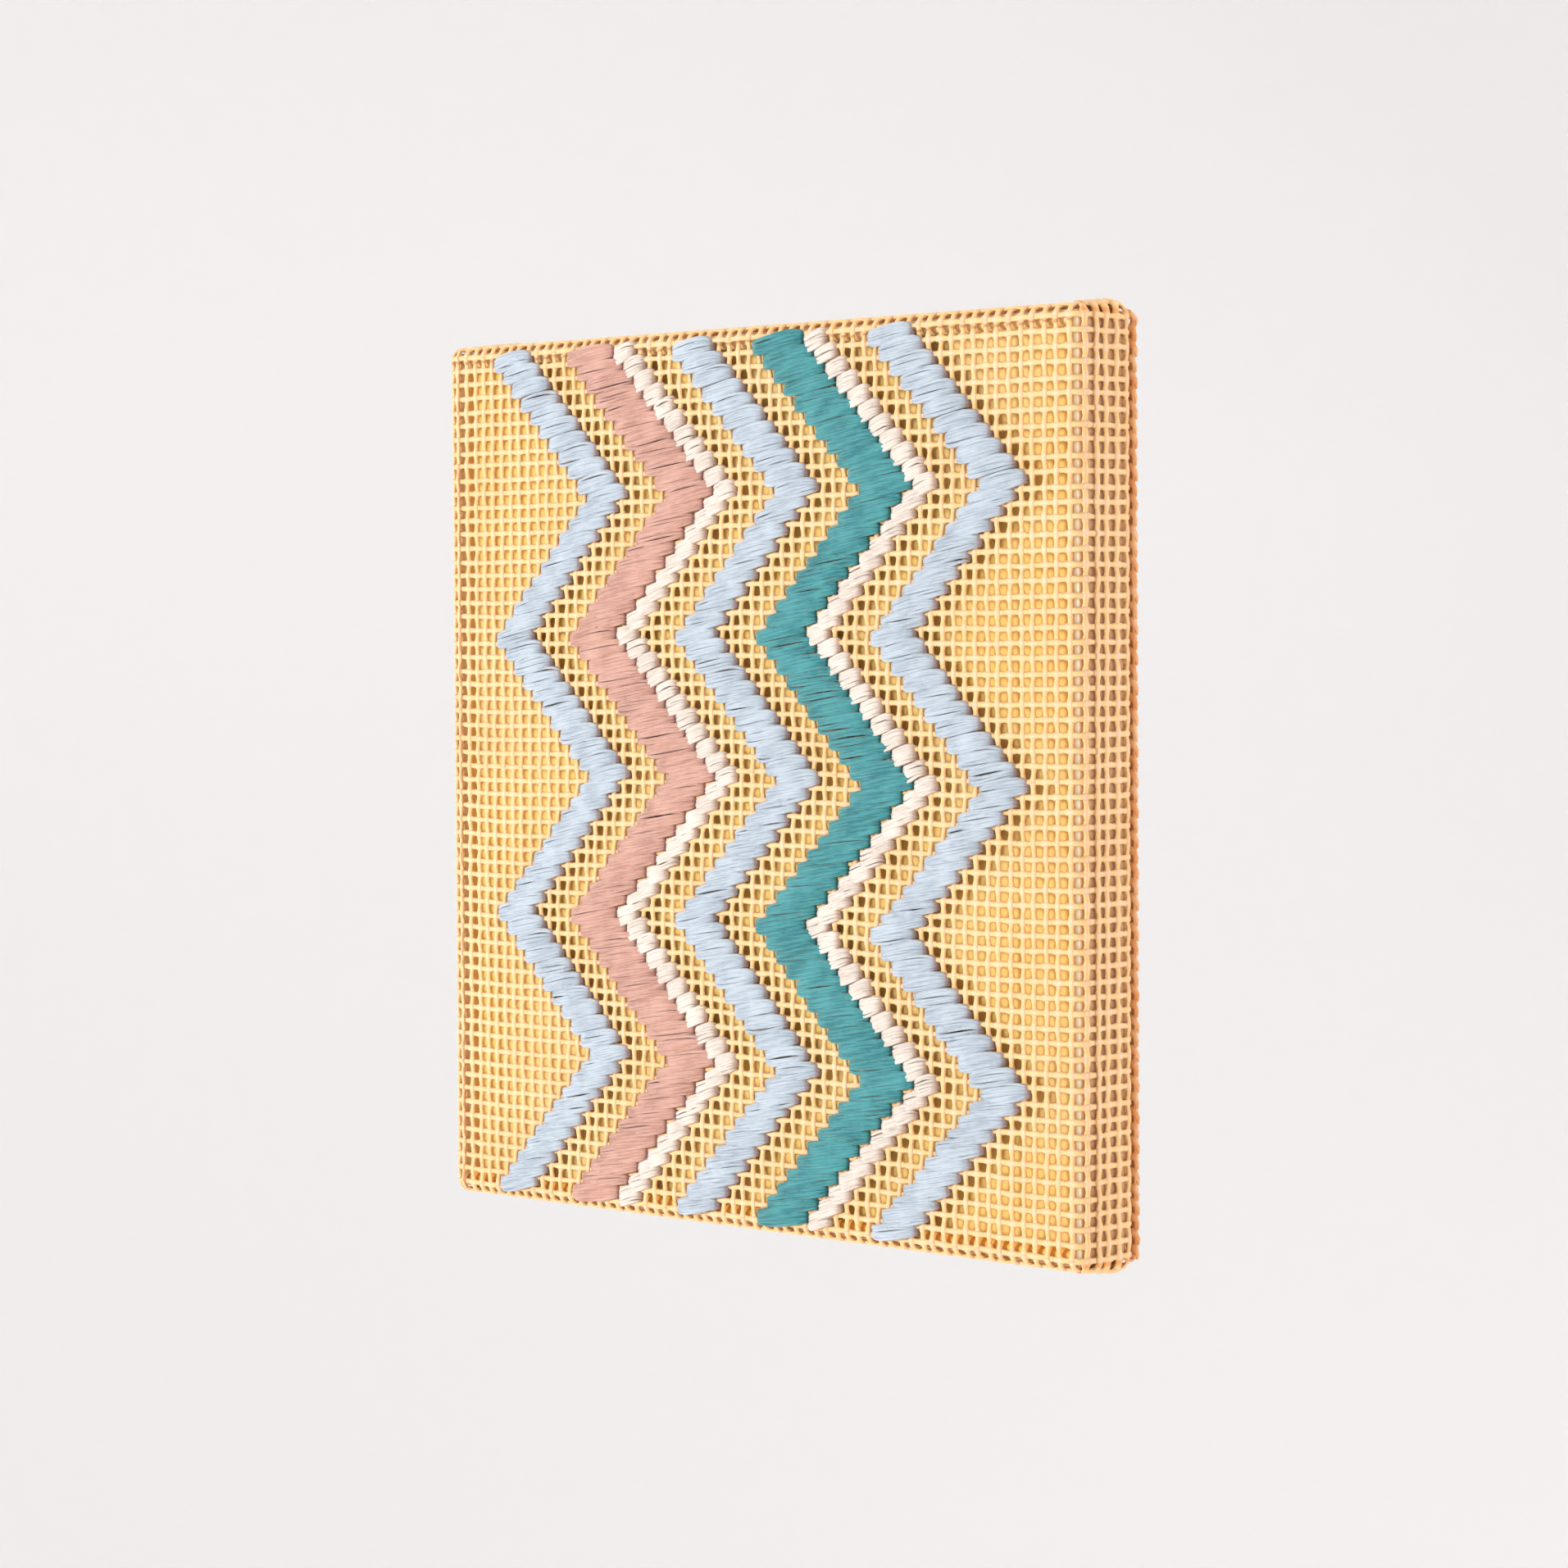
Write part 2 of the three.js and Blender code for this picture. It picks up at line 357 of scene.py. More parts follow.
def boardMaterial():
    # flat paint on card, with soft clouds and a fine tooth
    material, shader = newMaterial("painted card", board["roughness"])
    place = placeOnObject(material)
    clouds = noiseNode(material, place, 18, 3, 0.6)
    tooth = noiseNode(material, place, 1200, 3, 0.6)
    lighter = mixColours(material, rampNode(material, clouds, 0.45, 0.7), linear(board["colour"]),
                         linear(board["pale"]))
    deeper = mathNode(material, "MULTIPLY", rampNode(material, tooth, 0.5, 0.75), board["deepShare"])
    paint = mixColours(material, deeper, lighter, linear(board["deep"]))
    link(material, paint, shader.inputs["Base Color"])
    bump(material, shader, tooth, board["bump"] * mm, 0.5)
    return material


def setMaterial(piece, material):
    piece.data.materials.clear()
    piece.data.materials.append(material)


def dressFrame():
    # the noise of the grain is nine times finer across a bar than along it, and each bar's outer edge is
    # found along Z (2) or X (0)
    for name, grainScale, edgeAxis in (("bar.top", (1, 9, 9), 2), ("bar.bottom", (1, 9, 9), 2),
                                       ("bar.left", (9, 9, 1), 0), ("bar.right", (9, 9, 1), 0)):
        material = woodMaterial(name, grainScale, edgeAxis)
        setMaterial(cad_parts[name], material)
    setMaterial(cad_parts["board"], boardMaterial())


def emptyPiece():
    return {"points": [], "faces": [], "maps": [], "flat": [], "count": 0}


def addTubes(piece, points, length, keep=None):
    # points is tubes by rings by sides by three. Walls join one ring to the next, and a cap closes each
    # run of rings that are kept. The map holds the length along the tube and the way round it.
    tubes, rings, sides, _ = points.shape
    keep = np.ones((tubes, rings), bool) if keep is None else keep
    index = np.arange(tubes * rings * sides).reshape(tubes, rings, sides)
    length = np.broadcast_to(length, (tubes, rings))
    wall = keep[:, :-1] & keep[:, 1:]
    near, far = index[:, :-1][wall], index[:, 1:][wall]
    nearLength, farLength = (np.repeat(part[wall][:, None], sides, 1)
                             for part in (length[:, :-1], length[:, 1:]))
    around = np.broadcast_to(np.arange(sides) / sides, near.shape)
    following = around + 1 / sides
    walls = np.stack([near, np.roll(near, -1, 1), np.roll(far, -1, 1), far], -1).reshape(-1, 4)
    wallMap = np.stack([np.stack([nearLength, around], -1), np.stack([nearLength, following], -1),
                        np.stack([farLength, following], -1), np.stack([farLength, around], -1)], -2)
    none = np.zeros((tubes, 1), bool)
    starts = keep & ~np.hstack([none, wall])
    ends = keep & ~np.hstack([wall, none])
    lone = starts & ends       # a ring by itself makes neither wall nor cap
    caps = np.concatenate([index[starts & ~lone][:, ::-1], index[ends & ~lone]])
    capLength = np.concatenate([length[starts & ~lone], length[ends & ~lone]])
    capMap = np.repeat(np.stack([capLength, np.zeros_like(capLength)], -1)[:, None], sides, 1)
    used, compact = np.unique(np.concatenate([walls.ravel(), caps.ravel()]), return_inverse=True)
    compact = compact.ravel() + piece["count"]
    piece["points"].append(points.reshape(-1, 3)[used])
    piece["faces"] += [compact[:walls.size].reshape(-1, 4), compact[walls.size:].reshape(-1, sides)]
    piece["maps"] += [wallMap.reshape(-1, 2), capMap.reshape(-1, 2)]
    piece["flat"] += [np.zeros(len(walls), bool), np.ones(len(caps), bool)]
    piece["count"] += len(used)


def finishPiece(name, piece, material, nodes):
    mesh = bpy.data.meshes.new(name)
    points = (np.concatenate(piece["points"]) + panelMiddle) * mm
    corners = np.concatenate([faces.ravel() for faces in piece["faces"]])
    sizes = np.concatenate([np.full(len(faces), faces.shape[1]) for faces in piece["faces"]])
    mesh.vertices.add(len(points))
    mesh.vertices.foreach_set("co", points.astype(np.float32).ravel())
    mesh.loops.add(len(corners))
    mesh.loops.foreach_set("vertex_index", corners.astype(np.int32))
    mesh.polygons.add(len(sizes))
    mesh.polygons.foreach_set("loop_start", (np.cumsum(sizes) - sizes).astype(np.int32))
    mesh.update(calc_edges=True)
    strandMap = mesh.uv_layers.new(name="strand")
    strandMap.uv.foreach_set("vector", np.concatenate(piece["maps"]).astype(np.float32).ravel())
    mesh.polygons.foreach_set("use_smooth", ~np.concatenate(piece["flat"]))
    mesh.materials.append(material)
    mesh.update()
    made = bpy.data.objects.new(name, mesh)
    bpy.context.scene.collection.objects.link(made)
    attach(made, "root")
    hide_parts(*nodes)
    print(name, "made of", int(np.sum(sizes - 2)), "triangles")
    return made


canvas = {
    "threadWidth": 1.28, "crossingWidth": 1.85, "thickness": 0.95, "weaveHeight": 0.2,   # mm
    "columnWidth": 1.12,       # a column's thread is this much wider than a row's
    "middleInset": 0.7,        # from the outside of the canvas to the middle of its threads
    "arrisRadius": 2.3,        # of the cloth's middle where it turns an edge of the frame
    "backMiddle": -3.5,        # depth of the first turned layer
    "hemGap": 1.4,             # from the middle of one turned layer to the next
    "turnedTo": 85.24,         # the turned strip reaches in to here, from the middle of the panel
    "hemEdge": 110.7,          # its doubled edge lies here
    "hemCorner": 1.5,          # and its four corners are rounded by this
    "hemSlip": 1.2,            # how far the turned layers lie out of line with each other
    "hemWidth": 1.55,          # their threads are pressed wider by this
    "hemFlat": 0.5,            # and their weave flatter by this
    "pleatHeight": 1.5,        # a pleat stands off the face it lies on by this
    "pleatRise": 12.0,         # length over which it rises, from the front arris backwards
    "pleatFall": (122.0, 8.0),     # where it starts to fall again, along the cloth, and over what length
    "foldRows": (-33, -32, 31, 32),   # the rows along the fold of a pleat
    "foldWidth": 1.9,          # are this much wider
    "foldSpread": 0.7,         # and the columns that run into the pleat spread by this share
    "spreadAt": (-1, 1.5),     # from just before the end of the flat face to just past it
    "pastLine": 0.48,          # meshes: a ring up to this far past a mitre is drawn back to it
    "threadOffset": 0.13, "crossingOffset": 0.09, "crossingLimit": 0.25, "drift": 0.5,   # mm
    "widthSpread": 0.07,
    # column numbers, and how far a column there lies to the right of its place, in meshes
    "bunching": ((-32, 0), (-31, 0.35), (-29, 0.2), (-23, -0.1), (24, -0.35), (29, -0.2), (32, 0)),
    "rings": (0.22, 0.5, 0.78),    # of a thread, from one crossing to the next
    "turnedStep": 0.5,         # and from one ring to the next on the turned strip, in meshes
    "turnedUnder": 0.6, "turnedStart": 0.8, "foldRings": 5, "ringRoom": 0.5,   # mm
    "sides": 6, "turnedSides": 5,
}
flatHalf = halfFace - canvas["middleInset"] - canvas["arrisRadius"]
arcLength = canvas["arrisRadius"] * quarterTurn
# Threads are counted from the middle: column 0 runs down it and row 0 lies half a mesh above it
columnReach, rowReach = 58, 58   # more than the cloth has
lastFront, lastSide = 30, 35     # the last thread of the front and of a side


def clothProfile():
    # the cloth in section, from the middle of the front out to the edge and round to the back: each
    # stretch has a length and a turn, and the place is the running sum of steps in the heading
    radius, hemRadius = canvas["arrisRadius"], canvas["hemGap"] / 2
    frontMiddle = clothFront + canvas["middleInset"]
    sideRun = canvas["backMiddle"] - frontMiddle - 2 * radius
    firstRun = flatHalf - canvas["turnedTo"]
    secondRun = canvas["hemEdge"] - hemRadius - canvas["turnedTo"]
    stretches = np.array([
        (flatHalf, 0), (arcLength, 90), (sideRun, 0), (arcLength, 90), (firstRun, 0),
        (hemRadius * math.pi, -180), (secondRun, 0), (hemRadius * math.pi, 180), (secondRun - 1, 0)])
    ends = np.concatenate([[0], np.cumsum(stretches[:, 0])])
    turned = np.radians(np.concatenate([[0], np.cumsum(stretches[:, 1])]))
    length = np.linspace(0, ends[-1], 6000)
    heading = np.interp(length, ends, turned)
    step = length[1]
    middle = (heading[1:] + heading[:-1]) / 2
    outward = np.concatenate([[0], np.cumsum(np.cos(middle) * step)])
    depth = frontMiddle + np.concatenate([[0], np.cumsum(np.sin(middle) * step)])
    return {"length": length, "heading": heading, "outward": outward, "depth": depth, "ends": ends}


profile = clothProfile()
sideStart, _, backStart, foldIn, secondStart, foldOut, thirdStart, clothEnd = profile["ends"][2:]
lastColumn, lastRow = int(clothEnd / pitch), int(clothEnd / rowPitch)


def smoothStep(value, start, end):
    part = np.clip((value - start) / (end - start), 0, 1)
    return part * part * (3 - 2 * part)


def outwardAt(across):
    return np.interp(np.abs(across), profile["length"], profile["outward"])


def wrapCloth(across, along, lift, pleated, mitred):
    # From the flat cloth to its place on the frame. Across the edge the profile bends it; near the ends of
    # an edge it also bends round the neighbouring edge, as on a ball of the arris radius, and past that it
    # lies on the next face as a pleat, lifted off it. Lift is measured along the cloth's normal.
    radius = canvas["arrisRadius"]
    reach = np.abs(across)
    slip = smoothStep(reach, foldIn, secondStart) - 2 * smoothStep(reach, foldOut, thirdStart)
    along = along + canvas["hemSlip"] * slip
    beside = np.abs(along)
    heading, outward, depth = (np.interp(reach, profile["length"], profile[key])
                               for key in ("heading", "outward", "depth"))
    onBack = reach > backStart
    bend = np.where(onBack, 0, np.clip((beside - flatHalf) / radius, 0, quarterTurn))
    inwards = np.where(onBack, 0, np.maximum(beside - flatHalf - arcLength, 0))
    if pleated:
        rise = np.clip((reach - sideStart) / canvas["pleatRise"], 0, 1)
        fall = 1 - smoothStep(reach, canvas["pleatFall"][0], sum(canvas["pleatFall"]))
        lift = lift + canvas["pleatHeight"] * rise * fall * smoothStep(bend, 0, quarterTurn)
    outNormal, depthNormal = np.sin(heading), -np.cos(heading)
    over = radius * (1 - np.cos(bend))
    outward = outward - outNormal * over - inwards + lift * outNormal * np.cos(bend)
    depth = depth - depthNormal * over + lift * depthNormal * np.cos(bend)
    parallel = np.where(onBack, beside, np.minimum(beside, flatHalf) + (radius + lift) * np.sin(bend))
    # a pleat follows the back edge of the face it lies on, from 3 mm in
    past = np.clip(heading - quarterTurn, 0, quarterTurn) * np.where(onBack, 0, smoothStep(inwards, 0, 3))
    depth = depth + (radius + lift) * np.sin(past)
    parallel = parallel - (radius + lift) * (1 - np.cos(past))
    if mitred:
        outward = np.where(onBack, np.maximum(outward, parallel), outward)
    return roundHemCorner(outward, parallel, onBack, depth, np.sign(across), np.sign(along))


def roundHemCorner(outward, parallel, onBack, depth, acrossSign, alongSign):
    # in the corner of the hem a point further than the corner radius from its centre is drawn in to it
    radius = canvas["hemCorner"]
    centre = canvas["hemEdge"] - radius
    outPart, alongPart = outward - centre, parallel - centre
    far = np.hypot(outPart, alongPart)
    inCorner = onBack & (outPart > 0) & (alongPart > 0) & (far > radius)
    shrink = np.where(inCorner, radius / np.maximum(far, 1e-6), 1)
    outward = np.where(inCorner, centre + outPart * shrink, outward)
    parallel = np.where(inCorner, centre + alongPart * shrink, parallel)
    return acrossSign * outward, alongSign * parallel, depth


def makeKnots():
    # where each row crosses each column on the flat cloth: an even net, plus an offset for each thread, a
    # slow drift and a small random step at each crossing
    rows = np.arange(-rowReach, rowReach)[:, None] + 0.5
    columns = np.arange(-columnReach, columnReach + 1)[None, :]
    shape = (len(rows), columns.size)
    across, upward = np.broadcast_to(columns * pitch, shape), np.broadcast_to(rows * rowPitch, shape)
    bunching = np.interp(columns, *zip(*canvas["bunching"])) * pitch
    columnOffset = random.normal(0, canvas["threadOffset"], columns.shape)
    rowOffset = random.normal(0, canvas["threadOffset"], rows.shape)
    limit = canvas["crossingLimit"]
    stray = np.clip(random.normal(0, canvas["crossingOffset"], (2, *across.shape)), -limit, limit)
    # the drift is a product of two waves, and it dies out towards the edges of the face
    drift = canvas["drift"] * (1 - smoothStep(np.maximum(np.abs(across), np.abs(upward)), 90, 118))
    driftU = drift * np.sin(upward / 38 + 0.6) * np.cos(across / 60)
    driftV = drift * np.sin(across / 31 + 1.9) * np.cos(upward / 70 + 0.4)
    return across + bunching + columnOffset + stray[0] + driftU, upward + rowOffset + stray[1] + driftV


knotU, knotV = makeKnots()


def alongThread(grid, threads, positions, axis):
    # straight between one crossing and the next
    low = np.floor(positions).astype(int)
    part = positions - low
    table = grid[threads] if axis == "row" else grid[:, threads].T
    return table[:, low] * (1 - part) + table[:, low + 1] * part


def addThreads(piece, axis, threads, positions, across, kind="plain"):
    # Threads of one direction: a flattened tube over and under the ones it crosses, wider where they meet.
    # threads are row or column numbers and positions are the crossings, or places between, on each.
    # across says which way the cloth bends there: u over the left and right edges, v over top and bottom.
    # kind is plain for the flat parts, pleated at the sides or turned for the strip on the back.
    if axis == "row":
        picked, places = threads + rowReach, positions + columnReach
    else:
        picked, places = threads + columnReach, positions + rowReach
    u, v = (alongThread(grid, picked, places, axis) for grid in (knotU, knotV))
    over = np.where(threads % 2 == 0, 1, -1)[:, None] * (1 if axis == "row" else -1)
    crossing = np.cos(positions * 2 * math.pi) * 0.5 + 0.5
    uneven = 1 + random.normal(0, canvas["widthSpread"], u.shape)
    width = (canvas["threadWidth"] + (canvas["crossingWidth"] - canvas["threadWidth"]) * crossing) * uneven
    width = width * (canvas["columnWidth"] if axis == "column" else 1)
    lift = canvas["weaveHeight"] * over * np.cos(positions * math.pi)
    if kind == "turned":
        width, lift = width * canvas["hemWidth"], lift * canvas["hemFlat"]
    if kind == "pleated" and axis == "row":
        folded = np.isin(threads, canvas["foldRows"])
        width = np.where(folded[:, None], width * canvas["foldWidth"], width)
    if kind == "pleated" and axis == "column":
        width = width * (1 + canvas["foldSpread"] * smoothStep(np.abs(v) - flatHalf, *canvas["spreadAt"]))
    sides = canvas["turnedSides"] if kind == "turned" else canvas["sides"]
    angle = np.arange(sides) * 2 * math.pi / sides
    sideways = width[..., None] / 2 * np.cos(angle)
    rise = lift[..., None] + canvas["thickness"] / 2 * np.sin(angle)
    if axis == "row":
        u, v = np.broadcast_arrays(u[..., None], v[..., None] + sideways)
    else:
        u, v = np.broadcast_arrays(u[..., None] - sideways, v[..., None])
    keep = None
    first, second = (u, v) if across == "u" else (v, u)
    runsAcross = (axis == "row") == (across == "u")
    if kind != "plain":
        first, second, keep = limitThreads(first, second, runsAcross)
    mitred = kind != "plain" and runsAcross
    outward, parallel, depth = wrapCloth(first, second, rise, kind == "pleated", mitred)
    x, z = (outward, parallel) if across == "u" else (parallel, outward)
    addTubes(piece, np.stack([x, depth, z], -1), positions, keep)


def limitThreads(first, second, runsAcross):
    # Pleats end on the fold that runs at 45 degrees from the front corner, and turned strips on the mitre.
    # A ring just past the line is drawn back to it, and those further out are left out.
    reach, beside = np.abs(first), np.abs(second)
    onBack = reach > backStart
    limit = np.where(onBack, outwardAt(first), np.maximum(reach, sideStart))
    keep = np.all(beside <= limit + canvas["pastLine"] * pitch, axis=-1)
    if runsAcross:
        drawn = np.where(beside > sideStart, np.maximum(reach, beside), reach)
        first = np.where(onBack, first, np.sign(first) * drawn)
    else:
        second = np.sign(second) * np.minimum(beside, limit)
    return first, second, keep


def ringPlaces(start, end):
    # places between two crossings, the same in each mesh, and the ends themselves
    inner = (np.arange(start, end)[:, None] + np.array(canvas["rings"])).ravel()
    return np.concatenate([[start], inner, [end]])


def turnedPlaces(spacing):
    # Along the turned strip: even rings on the flat and closer ones in each tight fold, where an even one
    # that would lie too near is left out. The first ring lies under the end of the side.
    flat = np.arange(backStart + canvas["turnedStart"], clothEnd, pitch * canvas["turnedStep"])
    folds = np.concatenate([np.linspace(start, end, canvas["foldRings"])
                            for start, end in ((foldIn, secondStart), (foldOut, thirdStart))])
    clear = np.all(np.abs(flat[:, None] - folds[None, :]) > canvas["ringRoom"], axis=1)
    first = backStart - canvas["turnedUnder"]
    return np.sort(np.concatenate([[first], flat[clear], folds])) / spacing


def rowsTo(last):
    # all rows from the lowest to the highest; there is one more number below the middle than above it
    return np.arange(-last - 1, last + 1)


def columnsTo(last):
    return np.arange(-last, last + 1)


def makeFront():
    # the face of the net in two halves; the rows run on to the first thread of each side
    rowPlaces = ringPlaces(-lastFront - 1, lastFront + 1)
    for name, rows, start, end in (("canvas.front.upper", np.arange(0, lastFront + 1), 0, lastFront),
                                   ("canvas.front.lower", np.arange(-lastFront - 1, 0), -lastFront - 1, 0)):
        piece = emptyPiece()
        addThreads(piece, "row", rows, rowPlaces, "u")
        addThreads(piece, "column", columnsTo(lastFront), ringPlaces(start, end), "u")
        made = finishPiece(name, piece, cottonCloth, ["canvas"])


def makeSides():
    # the four sides of the net and the pleats at their ends
    piece = emptyPiece()
    upright = ringPlaces(-lastSide - 1, lastSide)
    outwards = ringPlaces(lastFront + 1, lastSide + 1)
    level = ringPlaces(-lastFront, lastFront)
    for sign in (-1, 1):
        sideColumns = sign * np.arange(lastFront + 1, lastSide + 1)
        addThreads(piece, "column", sideColumns, upright, "u", "pleated")
        addThreads(piece, "row", rowsTo(lastSide), np.sort(sign * outwards), "u", "pleated")
        if sign > 0:
            edgeRows = np.arange(lastFront + 1, lastSide + 1)
            edgePlaces = ringPlaces(lastFront, lastSide)
        else:
            edgeRows = np.arange(-lastSide - 1, -lastFront - 1)
            edgePlaces = ringPlaces(-lastSide - 1, -lastFront - 1)
        addThreads(piece, "row", edgeRows, level, "v")
        addThreads(piece, "column", columnsTo(lastFront), edgePlaces, "v")
    made = finishPiece("canvas.sides", piece, cottonCloth, ["canvas"])


def makeTurned():
    # the turned strip, folded double, with mitred corners, in two pieces
    for name, across in (("canvas.turned.sides", "u"), ("canvas.turned.ends", "v")):
        piece = emptyPiece()
        for sign in (-1, 1):
            if across == "u":
                strips = sign * np.arange(lastSide + 1, lastColumn + 1)
                crossings = turnedPlaces(pitch)
                lengthwise = np.arange(-lastFront - 2, lastFront + 1.01, canvas["turnedStep"])
                addThreads(piece, "column", strips, lengthwise, across, "turned")
                addThreads(piece, "row", rowsTo(lastFront), np.sort(sign * crossings), across, "turned")
            else:
                strips = (np.arange(lastSide + 1, lastRow) if sign > 0
                          else np.arange(-lastRow - 1, -lastSide - 1))
                crossings = np.sort(sign * turnedPlaces(rowPitch)) - 0.5
                lengthwise = np.arange(-lastFront - 1, lastFront + 1.01, canvas["turnedStep"])
                addThreads(piece, "row", strips, lengthwise, across, "turned")
                addThreads(piece, "column", columnsTo(lastFront), crossings, across, "turned")
        made = finishPiece(name, piece, cottonCloth, ["canvas"])


wool = {
    "rows": 61, "holes": 60,
    "reach": 10,               # holes that a band moves sideways before it turns back
    "strands": 8, "rings": 9, "sides": 5,
    "narrow": 2, "narrowRings": 7,             # a band of this width has fewer rings to a strand
    "endAngle": 0.02, "reachPower": -0.12, "reachShare": 0.98,
    "radius": 0.46, "thinAtEnds": 0.2, "thickness": (0.85, 1.2),   # mm, and shares of it
    "spread": 1.95,            # mm from the middle of a stitch to its outermost strand
    "pinch": 0.4, "narrowPinch": 0.76, "pinchPower": 0.8,   # share of the spread left at a hole
    "crest": 2.05, "narrowCrest": 1.45,        # mm above the canvas's middle
    "dive": 1.1,               # mm below it, at a hole
    "valley": 0.12, "uneven": 0.08, "wander": 0.13,   # mm
    "fullness": 0.5,           # power of the sine: the lower it is, the steeper the ends
    "slant": 1.25, "slantAtHoles": 0.35, "slantPower": 0.6,   # mm that a stitch leans up to the right
    "backRings": 5, "backSides": 6, "backRadius": 1.75, "backFlatness": 0.35,
    "backInset": 0.4, "backHeight": 1.2,       # mm behind the canvas's middle, at a hole and from there on
    "backShort": 0.02,         # share of a stitch by which its back strand stops before each hole
    "fibresPerHole": 5 / 3, "fibreRadius": 0.036, "fibreTaper": (1, 1, 0.9, 0.7, 0.3),
    "fibreLength": (0.9, 2.8), "fibreHeight": (0.15, 0.75), "fibreCurl": 0.5,   # mm
    "fibreSideways": 0.25, "fibreUpwards": 0.7, "fibreRoot": 0.8, "fibreArch": 2.2, "fibreSides": 3,
}
bands = [
    {"name": "wool.blue.left", "startHole": 4, "width": 4, "wool": "blue"},
    {"name": "wool.mauve", "startHole": 12, "width": 5, "wool": "mauve"},
    {"name": "wool.white.left", "startHole": 17, "width": 2, "wool": "white"},
    {"name": "wool.blue.middle", "startHole": 23, "width": 4, "wool": "blue"},
    {"name": "wool.teal", "startHole": 31, "width": 5, "wool": "teal"},
    {"name": "wool.white.right", "startHole": 36, "width": 2, "wool": "white"},
    {"name": "wool.blue.right", "startHole": 42, "width": 4, "wool": "blue"},
]
# a yarn's colour, the painted shade between its fibres and in its twist, and the painted shade where it
# goes into the canvas
woolColours = {
    "blue": ((192, 203, 213), (162, 174, 188), (172, 150, 156)),
    "mauve": ((210, 165, 150), (180, 130, 115), (156, 104, 102)),
    "teal": ((78, 155, 159), (38, 112, 118), (38, 86, 82)),
    "white": ((234, 223, 213), (210, 196, 184), (202, 174, 156)),
}


def holeCentre(column, row):
    # the middle of a hole: the mean of the four crossings round it
    low, left = row - 1 + rowReach, np.floor(column).astype(int) + columnReach
    return [sum(grid[low + a, left + b] for a in (0, 1) for b in (0, 1)) / 4 for grid in (knotU, knotV)]


def stitchPaths(band, rowNumbers):
    # each row's two holes, from a wave of straight slopes: one hole sideways on each row
    shift = wool["reach"] - np.abs(rowNumbers % (2 * wool["reach"]) - wool["reach"])
    left = band["startHole"] + shift - (wool["holes"] - 1) / 2
    level = (wool["rows"] - 1) // 2 - rowNumbers
    return holeCentre(left, level), holeCentre(left + band["width"], level)


def ringsAround(path, radius, sides, flatness=1.0):
    # a ring of points square to the path at each of its points; the path runs mainly along X
    ahead = np.gradient(path, axis=-2)
    ahead /= np.linalg.norm(ahead, axis=-1, keepdims=True)
    upright = np.array([0, 0, 1.0])
    outwards = np.cross(upright, ahead)
    outwards /= np.maximum(np.linalg.norm(outwards, axis=-1, keepdims=True), 1e-6)
    third = np.cross(ahead, outwards)
    angle = np.arange(sides) * 2 * math.pi / sides
    radius = np.asarray(radius)[..., None, None]
    return (path[..., None, :] + radius * (np.cos(angle)[:, None] * outwards[..., None, :] * flatness
                                           + np.sin(angle)[:, None] * third[..., None, :]))


def makeStrands(band, rowNumbers):
    # Strands run from hole to hole as half a flattened circle: the way across is a power of the cosine of
    # the angle and the height a low power of its sine. They spread side by side on the crest, lean up to
    # the right and draw together at the holes.
    (leftU, leftV), (rightU, rightV) = stitchPaths(band, rowNumbers)
    if band["width"] <= wool["narrow"]:
        rings, pinch, crest = wool["narrowRings"], wool["narrowPinch"], wool["narrowCrest"]
    else:
        rings, pinch, crest = wool["rings"], wool["pinch"], wool["crest"]
    angle = np.linspace(wool["endAngle"], math.pi - wool["endAngle"], rings)
    across = -np.cos(angle) * np.abs(np.cos(angle)) ** wool["reachPower"] * wool["reachShare"]
    swell = np.sin(angle) ** wool["fullness"]
    count = wool["strands"]
    shape = (len(rowNumbers), count, 1)
    lane = np.linspace(-1, 1, count)[None, :, None]
    closeness = pinch + (1 - pinch) * np.sin(angle) ** wool["pinchPower"]
    stray, bow, lift = (random.normal(0, wool[size], shape) for size in ("wander", "wander", "uneven"))
    wander = stray + bow * np.sin(angle * 2 + random.uniform(0, 2 * math.pi, shape))
    middleU, middleV = ((a + b)[:, None, None] / 2 for a, b in ((leftU, rightU), (leftV, rightV)))
    halfU, halfV = ((b - a)[:, None, None] / 2 for a, b in ((leftU, rightU), (leftV, rightV)))
    atHoles = wool["slantAtHoles"]
    lean = wool["slant"] * (atHoles + (1 - atHoles) * np.sin(angle) ** wool["slantPower"]) * across
    x = middleU + halfU * across
    z = middleV + halfV * across + lane * wool["spread"] * closeness + wander * swell + lean
    height = -wool["dive"] + (crest + wool["dive"] + lift - wool["valley"] * lane ** 2) * swell
    depth = clothFront + canvas["middleInset"] - height
    thinning = 1 - wool["thinAtEnds"] + wool["thinAtEnds"] * swell
    radius = wool["radius"] * thinning * random.uniform(*wool["thickness"], shape)
    path = np.stack(np.broadcast_arrays(x, depth, z), -1).reshape(-1, rings, 3)
    # the strand map's length starts somewhere else on each strand
    length = random.uniform(0, 40, (len(path), 1)) + np.arange(rings) * (2 * halfU.ravel()[0] / rings)
    return path, radius.reshape(-1, rings), length


def backStrands(band, rowNumbers):
    # behind the net each stitch runs back to the hole below, flat against the threads and a little short
    # of both holes
    (leftU, leftV), (rightU, rightV) = stitchPaths(band, rowNumbers)
    part = np.linspace(0, 1, wool["backRings"])
    rise = np.sin(part * math.pi) ** 0.5
    short = wool["backShort"]
    x = leftU[:, None] + (rightU - leftU)[:, None] * (short + (1 - 2 * short) * part)
    z = leftV[:, None] + (rightV - leftV)[:, None] * part - pitch * (0.5 - part) * 0.5
    depth = clothFront + canvas["middleInset"] + wool["backInset"] + wool["backHeight"] * rise
    return np.stack(np.broadcast_arrays(x, depth, z), -1)


